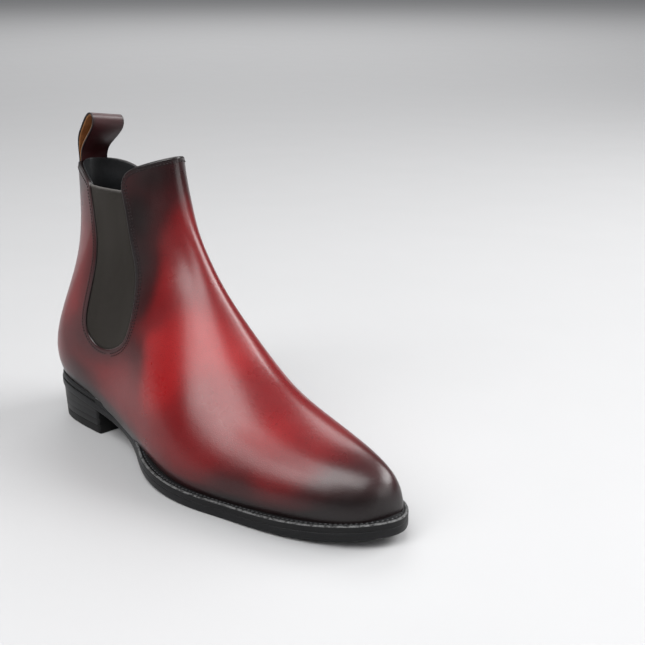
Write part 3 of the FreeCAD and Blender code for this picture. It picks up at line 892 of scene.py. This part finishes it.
gorePieces = []
for side, low, high in (("lateral", -80, 88), ("medial", 92, 260)):
    piece = lastSheet("gore_" + side, evenAlongs(6.8, lastEnd, 1.2), np.radians(np.linspace(low, high, 130)),
                      goreLine, goreDepth, gore["roll"], goreFold, goreValues, 3)
    dress(piece, None, goreElastic, "gore_elastic", side + "_gore")
    gorePieces.append(piece)
print("gores made")

# The linings, seen through the mouth of the shaft.
lining = {"depth": 3.05, "overStrap": 0.9, "roll": 0.7, "halfThick": 0.45}


def liningDepth(surface):
    # The lining gives way at the back, where the strap's ends are sewn in.
    atStrap = smoothStep(52 - surface[:, 0], 0, 16) * smoothStep(surface[:, 2], 155, 168)
    return lining["depth"] + lining["overStrap"] * atStrap


def liningFold(surface):
    return -lining["halfThick"] + 0 * surface[:, 0]


wholeLining = lastSheet("lining", evenAlongs(0.8, lastEnd, 1.9), np.radians(np.linspace(-90, 270, 161)),
                        upperLine, liningDepth, lining["roll"], liningFold, lambda *places: {}, 2)
liningFront, liningBack = splitAtSeam(wholeLining, "lining_front", "lining_back")
dress(liningFront, "boot", liningLeather, "lining_leather", "front_lining")
dress(liningBack, None, liningLeather, "lining_leather", "heel_lining", "shaft_lining")
print("linings made")

# The pull strap is leather with a tan backing, folded over and sewn in at the back. Its path is
# given as (x, z) from the outer end over the fold to the inner end.
strap = {"width": 24.3, "leather": 1.15, "backing": 0.75, "round": 0.35, "lean": 0.15,
         "backingInset": 0.5, "burnish": 0.45, "edgeBurnish": 0.6}
strapPath = [(22.5, 168), (22.5, 175), (22.9, 182), (26.2, 189.5), (31.6, 197.2), (36.8, 204),
             (41.6, 209.6), (46, 212.2), (49.4, 210.9), (50.2, 206.8), (47.6, 201.8), (41.8, 196.6),
             (34.8, 191.8), (28.9, 187), (25.8, 181.5), (25.2, 175), (25.2, 168)]
wallAngles = np.radians(np.linspace(-90, 0, 200))
wallShape = lastPoint(lastEnd - 0.1, wallAngles)
wallLength = np.concatenate([[0], np.cumsum(np.linalg.norm(np.diff(wallShape, axis=0), axis=1))])


def strapSpot(across, hug):
    # Where a point of the strap's width goes: the way forward and sideways when it hugs the wall.
    onWall = np.interp(np.abs(across), wallLength, wallShape[:, 0] - wallShape[0, 0])
    sideways = np.interp(np.abs(across), wallLength, -wallShape[:, 1]) * np.sign(across)
    return hug * onWall, across + hug * (sideways - across)


def strapSheet(name, near, far, inset):
    # A strip swept along the strap's path, between two depths below its outer face.
    path = sampleCurve(strapPath, 0.9)
    ahead = np.gradient(path, axis=0)
    ahead /= np.linalg.norm(ahead, axis=1, keepdims=True)
    outward = np.stack([-ahead[:, 1], ahead[:, 0]], 1)
    half = strap["width"] / 2 - inset
    bevel = strap["round"]
    flat = np.linspace(-half + bevel, half - bevel, 23)
    turns = np.radians((30, 60, 90))
    out, drop = bevel * np.sin(turns), bevel * (1 - np.cos(turns))
    right, left = half - bevel, -half + bevel
    ringAcross = np.concatenate([flat, right + out, right + out[::-1], flat[::-1], left - out,
                                 left - out[::-1]])
    ringDeep = np.concatenate([near + 0 * flat, near + drop, far - drop[::-1], far + 0 * flat, far - drop,
                               near + drop[::-1]])
    points, burnish, run = [], [], []
    length = np.concatenate([[0], np.cumsum(np.linalg.norm(np.diff(path, axis=0), axis=1))])
    for index, (place, normal) in enumerate(zip(path, outward)):
        hug = 1 - float(smoothStep(place[1], 180, 200))
        onward, sideways = strapSpot(ringAcross, hug)
        x = place[0] - normal[0] * ringDeep + onward
        lean = strap["lean"] * float(smoothStep(place[1], 182, 212))
        z = place[1] - normal[1] * ringDeep - lean * ringAcross
        points.append(np.stack([x, sideways, z], 1))
        toEdge = half - np.abs(ringAcross)
        burnish.append(strap["burnish"] + strap["edgeBurnish"] * (1 - smoothStep(toEdge, 0, 2.0)))
        run.append(np.stack([np.full(len(toEdge), length[index]), ringAcross, 0 * toEdge], 1))
    count = len(ringAcross)
    faces = gridFaces(len(path), count, closedColumns=True) + endFaces(len(path), count)
    dark = np.concatenate(burnish)
    return meshObject(name, toFrame(np.concatenate(points)), faces, True,
                      {"burnish": dark, "glow": 0 * dark, "bend": 0 * dark + 0.3, "run": np.concatenate(run)})


strapOuter = dress(strapSheet("pull_strap_leather", 0, strap["leather"], 0), None, strapLeather,
                   "upper_leather", "pull_loop")
backingFar = strap["leather"] + strap["backing"]
strapInner = dress(strapSheet("pull_strap_backing", strap["leather"], backingFar, strap["backingInset"]),
                   None, backingTan, "loop_backing", "pull_loop_backing")
print("strap made")

# The sole's edge seen from above, as (x, y).
soleEdge = [(0, 0), (11, -24.5), (33, -34), (66, -35.5), (94, -36), (118, -42.5), (140, -53), (165, -58.6),
            (190, -58), (215, -53), (245, -47), (272, -38), (292, -27), (304, -15), (309, -3), (305, 8),
            (294, 17.5), (275, 27), (250, 35.5), (220, 42), (190, 43), (158, 37), (130, 31), (100, 30.5),
            (66, 35), (33, 34), (11, 24.5)]
soleLine = sampleCurve(soleEdge, 0.8, closed=True)
sole = {"welt": 4.0, "outsole": 5.4, "breast": 66.0, "notchPitch": 1.6, "notchDeep": 0.32,
        "stitchIn": 3.1, "stitchPitch": 2.9, "stitchLength": 1.9, "stitchWidth": 0.85,
        "stitchRise": 0.05, "stitchTilt": 0.32}
soleAhead = np.roll(soleLine, -1, axis=0) - np.roll(soleLine, 1, axis=0)
soleAhead /= np.linalg.norm(soleAhead, axis=1, keepdims=True)
soleOut = np.stack([soleAhead[:, 1], -soleAhead[:, 0]], 1)
soleRun = np.concatenate([[0], np.cumsum(np.linalg.norm(np.diff(soleLine, axis=0), axis=1))])


def soleHeight(x):
    return featherHeight(np.clip(x, 0, 310))


def sweepEdge(path, outward, run, profile, closed, notched=()):
    # Carries a profile, given as distances outward and down from the top edge, along the sole's edge.
    # The rows named in notched are dented at even steps, as a wheeled edge is.
    notch = sole["notchDeep"] * (0.5 - 0.5 * np.cos(2 * math.pi * run / sole["notchPitch"]))
    rows = []
    for index, (out, down) in enumerate(profile):
        dip = notch * (index in notched)
        spot = path + outward * out
        rows.append(np.concatenate([spot, (soleHeight(path[:, 0]) - down - dip)[:, None]], 1))
    points = np.stack(rows, 1)
    count, wide = points.shape[:2]
    faces = gridFaces(count, wide, closedRows=closed)
    return points.reshape(-1, 3), faces if closed else faces + endFaces(count, wide)


def fillFlat(boundary, height, step):
    # A smooth cap over a closed outline: points inside it on a grid, joined up with the outline.
    low, high = boundary.min(0), boundary.max(0)
    xs, ys = np.meshgrid(np.arange(low[0], high[0], step), np.arange(low[1], high[1], step))
    inner = np.stack([xs.ravel(), 0 * xs.ravel(), ys.ravel()], 1)
    inner = inner[signedDistance(inner, boundary) > step * 0.6][:, [0, 2]]
    points = [Vector(map(float, point)) for point in np.concatenate([boundary, inner])]
    count = len(boundary)
    result = delaunay_2d_cdt(points, [(index, (index + 1) % count) for index in range(count)], [], 1, 1e-6)
    flat = np.array([tuple(point) for point in result[0]])
    return np.concatenate([flat, height(flat[:, 0])[:, None]], 1), [tuple(face) for face in result[2]]


def joinMeshes(name, parts, rub=None):
    points, faces, start = [], [], 0
    for partPoints, partFaces in parts:
        points.append(partPoints)
        faces += [tuple(start + corner for corner in face) for face in partFaces]
        start += len(partPoints)
    rubbed = np.zeros(start)
    if rub is not None:
        rubbed[:len(rub)] = rub
    made = meshObject(name, toFrame(np.concatenate(points)), faces, True, {"rub": rubbed})
    mergePoints(made)
    return made


def mergePoints(made):
    work = bmesh.new()
    work.from_mesh(made.data)
    bmesh.ops.remove_doubles(work, verts=work.verts, dist=0.00002)
    bmesh.ops.recalc_face_normals(work, faces=work.faces)
    work.to_mesh(made.data)
    work.free()


def sharpen(piece, degrees=38):
    piece.data.set_sharp_from_angle(angle=math.radians(degrees))


# Profiles of the edge, from the top inwards and down: distance outward and distance down.
weltProfile = [(-11, 0.3), (-7, 0.0), (-4.4, -0.15), (-3.9, 0.1), (-3.1, 0.25), (-2.3, 0.1), (-1.8, -0.12),
               (-1.3, -0.18), (-0.75, -0.12), (-0.3, 0.12), (-0.05, 0.45), (0, 0.9), (0, 3.5), (-0.06, 3.85),
               (-0.25, 4.0), (-11, 4.0)]
randProfile = [(-11, 0.3), (-6, 0.0), (-2.4, 0.0), (-1.5, 0.15), (-0.9, 0.5), (-0.6, 1.1), (-0.6, 3.2),
               (-0.8, 3.7), (-1.3, 4.0), (-11, 4.0)]
outsoleProfile = [(-11, 4.0), (-0.35, 4.0), (-0.12, 4.1), (-0.02, 4.3), (0, 5.0), (-0.02, 8.2), (-0.2, 8.85),
                  (-0.7, 9.25), (-1.5, 9.4)]

# The welt runs round the forepart and the waist, from breast to breast.
breast = sole["breast"]
lateralStart = int(np.argmin(np.abs(soleLine[:, 0] - breast) + (soleLine[:, 1] > 0) * 500))
medialStart = int(np.argmin(np.abs(soleLine[:, 0] - breast) + (soleLine[:, 1] < 0) * 500))
forward = np.arange(lateralStart, medialStart + 1)
behind = np.concatenate([np.arange(medialStart, len(soleLine)), np.arange(0, lateralStart + 1)])
wheeled = (7, 8, 9)  # the rows of the profile that the wheel has dented and rubbed
weltPoints, weltFaces = sweepEdge(soleLine[forward], soleOut[forward], soleRun[forward], weltProfile, False,
                                  wheeled)
weltRub = np.tile([float(index in wheeled) for index in range(len(weltProfile))], len(forward))
welt = joinMeshes("welt_strip", [(weltPoints, weltFaces)], weltRub)
dress(welt, "boot", weltLeather, "welt_leather", "welt")
sharpen(welt, 50)
randPoints, randFaces = sweepEdge(soleLine[behind], soleOut[behind], soleRun[behind], randProfile, False)
rand = joinMeshes("heel_seat_rand", [(randPoints, randFaces)])
dress(rand, "boot", weltLeather, "welt_leather", "heel_rand")
sharpen(rand, 50)
edgePoints, edgeFaces = sweepEdge(soleLine, soleOut, soleRun, outsoleProfile, True)
underside = soleLine + soleOut * outsoleProfile[-1][0]
capPoints, capFaces = fillFlat(underside, lambda x: soleHeight(x) - sole["welt"] - sole["outsole"], 3.0)
outsole = joinMeshes("outsole_leather", [(edgePoints, edgeFaces), (capPoints, capFaces)])
dress(outsole, "boot", soleBlack, "sole_black", "outsole")
sharpen(outsole, 50)
print("sole made")

# The heel: wedgeFoot is where the sloping wedge starts, and the sides taper down from taperFrom.
heel = {"topPiece": 6.0, "lift": 5.0, "taper": 0.055, "taperFrom": 24, "groove": 0.30,
        "cornerRound": 1.2, "inset": 0.7, "wedgeRise": 4.0}
wedgeFoot = heel["topPiece"] + 2 * heel["lift"]


def heelOutline(inset):
    # The D shape of the heel: the sole's edge behind the breast, closed by the flat breast.
    behindLine = soleLine[behind][1:-1]
    outward = soleOut[behind][1:-1]
    curve = behindLine - outward * (inset + heel["inset"])
    curve = curve[curve[:, 0] < breast - heel["cornerRound"]]
    first, last = curve[0], curve[-1]
    turn = heel["cornerRound"]
    corner = [(breast - turn * 0.3, last[1] + turn * 0.25), (breast, last[1] + turn * 1.1)]
    across = np.linspace(last[1] + 2.5, first[1] - 2.5, 40)
    face = [(breast, y) for y in across]
    other = [(breast, first[1] - turn * 1.1), (breast - turn * 0.3, first[1] - turn * 0.25)]
    return np.concatenate([curve, corner, face, other])


def heelStack(name, levels, capBelow, capAbove):
    # levels are (height, inset) pairs. Heights above the wedge's foot follow the sole's slope.
    rings = []
    for height, inset in levels:
        ring = heelOutline(inset + heel["taper"] * (heel["taperFrom"] - height))
        top = soleHeight(ring[:, 0]) - sole["welt"] - sole["outsole"]
        share = max(height - wedgeFoot, 0) / heel["wedgeRise"]
        z = wedgeFoot + (top - wedgeFoot) * share if height > wedgeFoot else height
        rings.append(np.concatenate([ring, np.broadcast_to(z, len(ring))[:, None]], 1))
    parts = [(np.concatenate(rings), gridFaces(len(rings), len(rings[0]), closedColumns=True))]
    for wanted, ring in ((capBelow, rings[0]), (capAbove, rings[-1])):
        if wanted:
            height = float(ring[0, 2])
            parts.append(fillFlat(ring[:, :2], lambda x: 0 * x + height, 4.0))
    return joinMeshes(name, parts)


groove = heel["groove"]
topPieceLevels = [(0, 0.8), (0.15, 0.35), (0.5, 0.05), (1.0, 0), (5.3, 0), (5.75, 0.12),
                  (heel["topPiece"], groove + 0.25)]
topPiece = heelStack("top_piece_block", topPieceLevels, True, True)
dress(topPiece, "boot", rubberBlack, "top_piece_rubber", "top_piece")
liftLevels = [(6.02, groove + 0.2), (6.2, 0.10), (6.5, 0)]
for join, reach in ((wedgeFoot - heel["lift"], 0.12), (wedgeFoot, 0.0)):
    liftLevels += [(join - 0.35, 0), (join - reach, 0.05), (join, 0.14), (join + reach, 0.05), (join + 0.35, 0)]
liftLevels += [(17.0, 0), (18.0, 0), (19.0, 0), (19.8, 0.12), (20.0, 0.3)]
heelBlock = heelStack("heel_stack", liftLevels, True, False)
dress(heelBlock, "boot", heelBlack, "heel_black", "heel_lift_1", "heel_lift_2", "heel_wedge")
for piece in (topPiece, heelBlock):
    sharpen(piece, 32)
print("heel made")


# Which parts of a line beside an edge are stitched.
def frontGoreSide(points):
    toGore = signedDistance(points, wholeGore)
    return (points[:, 0] > seamX) & (points[:, 2] < 190) & (toGore > -9) & (points[:, 2] > 55)


def backGoreSide(points):
    toGore = signedDistance(points, wholeGore)
    return (points[:, 0] < seamX) & (points[:, 2] < 170) & (toGore > -9) & (points[:, 2] > 55)


def frontTopSide(points):
    toGore = signedDistance(points, wholeGore)
    return (points[:, 0] > seamX) & (points[:, 2] > 165) & ((toGore < -6) | (points[:, 2] > 176))


def backTopSide(points):
    return (points[:, 0] < seamX) & (points[:, 2] > 160)


# The grid round the back starts at the ridge, so that no row is broken at the back of the leg.
coarseAlongs, coarseAngles = evenAlongs(4.5, lastEnd, 1.6), np.radians(np.linspace(-90, 270, 181))
coarseBack = np.radians(np.linspace(90, 450, 181))
stitchTools = {"pitch": upper["stitchPitch"], "length": upper["stitchLength"],
               "width": upper["stitchWidth"], "rise": 0.06}

frontRows = contourPath(coarseAlongs, coarseAngles, upperLine, upper["goreStitchIn"],
                        lambda points: frontGoreSide(points) | frontTopSide(points))
secondIn = upper["goreStitchIn"] + upper["goreStitchGap"]
frontSecond = contourPath(coarseAlongs, coarseAngles, upperLine, secondIn, frontGoreSide)
frontStitches = stitchMesh("stitches_front", frontRows, **stitchTools)
secondStitches = stitchMesh("stitches_front_second", frontSecond, shift=0.5, **stitchTools)
for piece in (frontStitches, secondStitches):
    dress(piece, "boot", upperThread, "upper_leather")
backRows = contourPath(coarseAlongs, coarseBack, upperLine, upper["goreStitchIn"],
                       lambda points: backGoreSide(points) | backTopSide(points))
backStitches = stitchMesh("stitches_back", backRows, **stitchTools)
dress(backStitches, None, upperThread, "upper_leather")


def weltPath():
    inner = soleLine[forward] - soleOut[forward] * sole["stitchIn"]
    height = soleHeight(soleLine[forward][:, 0]) - 0.16
    points = np.concatenate([inner, height[:, None]], 1)
    normals = np.tile([0.0, 0.0, 1.0], (len(points), 1))
    return [(points[4:-4], normals[4:-4])]


weltStitches = stitchMesh("stitches_welt", weltPath(), sole["stitchPitch"], sole["stitchLength"],
                          sole["stitchWidth"], sole["stitchRise"], sole["stitchTilt"])
dress(weltStitches, "boot", weltThread, "welt_leather")
print("stitches made")

# Inner parts keep their CAD shape and get their own finishes.
innerFinish = {"toe_puff": boardFibre, "heel_counter": boardFibre, "insole": insoleTan,
               "sock_lining": liningLeather, "cork_filler": corkBrown, "shank": shankSteel}
for label, material in innerFinish.items():
    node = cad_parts[label]
    node.data.materials.clear()
    node.data.materials.append(material)


def spot(x, z, y=0.0):
    return tuple(float(number) for number in toFrame([x, y, z]))


for piece in (backPiece, liningBack, backStitches):
    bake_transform(piece)
for piece in gorePieces:
    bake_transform(piece)
for piece in (strapOuter, strapInner):
    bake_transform(piece)

stage = {"floor": (0.40, 0.40, 0.404), "size": 14.0, "world": 0.56,
         "horizon": (0.10, 0.10, 0.105, 1), "zenith": (0.80, 0.81, 0.83, 1)}
# For each light: place, the point it is turned to, width, height and power.
lights = {"keyLight": ((0.34, -0.86, 1.56), (0.03, 0, 0.05), 1.4, 0.95, 29.0),
          "lowKeyLight": ((-0.15, -1.35, 1.0), (0.03, 0, 0.05), 0.85, 0.6, 10.0),
          "rimLight": ((0.82, 1.10, 1.15), (0.0, 0, 0.10), 1.5, 0.75, 38.0),
          "sideLight": ((-1.55, -0.30, 0.50), (-0.1, 0, 0.12), 0.35, 0.9, 2.2),
          "toeLight": ((1.45, 0.30, 0.55), (0.12, 0, 0.03), 1.1, 0.8, 7.0),
          "backdropLight": ((-2.6, 2.6, 3.2), (-3.0, 3.0, 0), 3.0, 3.0, 140.0)}


def makeFloor():
    # A pale plane with a hint of unevenness.
    count = 40
    ticks = np.linspace(-stage["size"], stage["size"], count)
    xs, ys = np.meshgrid(ticks, ticks, indexing="ij")
    points = np.stack([xs.ravel(), ys.ravel(), 0 * xs.ravel()], 1)
    faces = [face[:1] + face[:0:-1] for face in gridFaces(count, count)]  # turned to face up
    made = meshObject("floor", points, faces)
    material, nodes, shader = finish("paleFloor", {"Specular IOR Level": 0.25})
    place = nodes.place()
    cloud = nodes.noise(place, 3.0, 3.0)
    pale = stage["floor"] + (1,)
    darker = tuple(channel * 0.97 for channel in stage["floor"]) + (1,)
    shade = nodes.mix(nodes.spread(cloud, 0.3, 0.7), pale, darker)
    nodes.put(shader.inputs["Base Color"], shade)
    nodes.put(shader.inputs["Roughness"], nodes.spread(cloud, 0.2, 0.8, 0.5, 0.6))
    made.data.materials.append(material)


def areaLight(name, place, target, wide, tall, power):
    light = bpy.data.lights.new(name, "AREA")
    light.shape, light.size, light.size_y = "RECTANGLE", wide, tall
    light.energy = power
    made = bpy.data.objects.new(name, light)
    bpy.context.scene.collection.objects.link(made)
    made.location = place
    made.rotation_euler = (Vector(target) - Vector(place)).to_track_quat("-Z", "Y").to_euler()


makeFloor()
for label, settings in lights.items():
    areaLight(label, *settings)
world = bpy.data.worlds.new("studio")
world.use_nodes = True
sky = NodeSet(world.node_tree)
parts = sky.add("ShaderNodeSeparateXYZ")
sky.put(parts.inputs[0], sky.add("ShaderNodeTexCoord").outputs["Generated"])
background = world.node_tree.nodes["Background"]
skyShare = sky.spread(parts.outputs["Z"], 0.05, 0.95)
sky.put(background.inputs["Color"], sky.mix(skyShare, stage["horizon"], stage["zenith"]))
background.inputs["Strength"].default_value = stage["world"]
bpy.context.scene.world = world
bpy.context.scene.view_settings.view_transform = "Standard"

view = {"place": (0.4927, -0.4023, 0.3067), "aim": (-0.6635, 0.6776, -0.3173), "lens": 60.3,
        "sensor": 36.0}
lens = bpy.data.cameras.new("camera")
lens.lens, lens.sensor_fit = view["lens"], "HORIZONTAL"
lens.sensor_width = lens.sensor_height = view["sensor"]
camera = bpy.data.objects.new("camera", lens)
bpy.context.scene.collection.objects.link(camera)
camera.location = view["place"]
camera.rotation_euler = Vector(view["aim"]).to_track_quat("-Z", "Y").to_euler()
bpy.context.scene.camera = camera
